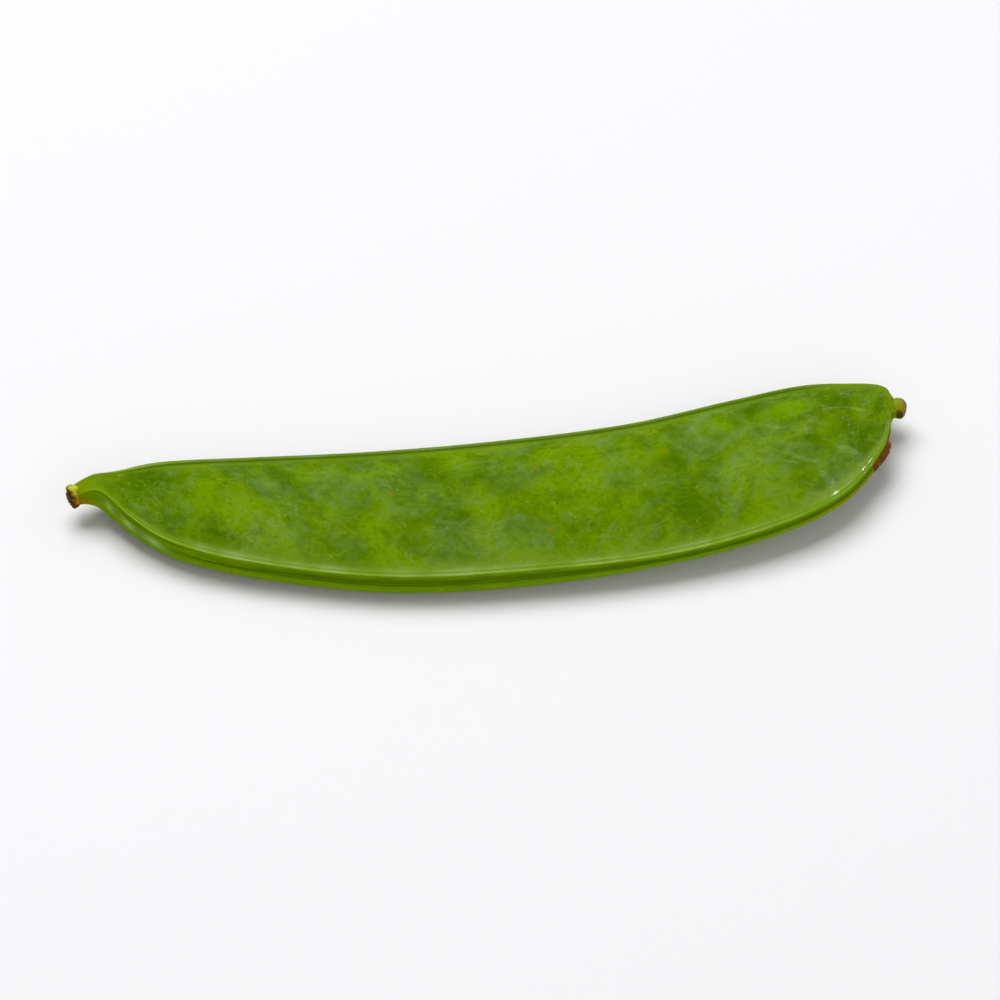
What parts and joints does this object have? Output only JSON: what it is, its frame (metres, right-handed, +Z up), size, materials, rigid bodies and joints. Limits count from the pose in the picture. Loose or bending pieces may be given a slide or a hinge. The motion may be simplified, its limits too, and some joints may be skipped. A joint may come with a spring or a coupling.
{
  "type": "snow pea pod",
  "caption": "Flat edible pea pod lying on its side, with ribbed seams, low seed swellings, a short stem stub and a small beak.",
  "frame": {"origin": "on the surface that the pod lies on, under the middle of its bounding box", "axes": "+X along the pod from the stem stub to the beak, +Y across the pod from the bowed seam to the straighter seed seam, +Z up"},
  "size_m": [0.0858, 0.0228, 0.0053],
  "materials": {
    "pod_skin": "waxy satin plant skin, mid green"
  },
  "bodies": {
    "root": {"pod": "pod_skin"}
  },
  "joints": []
}
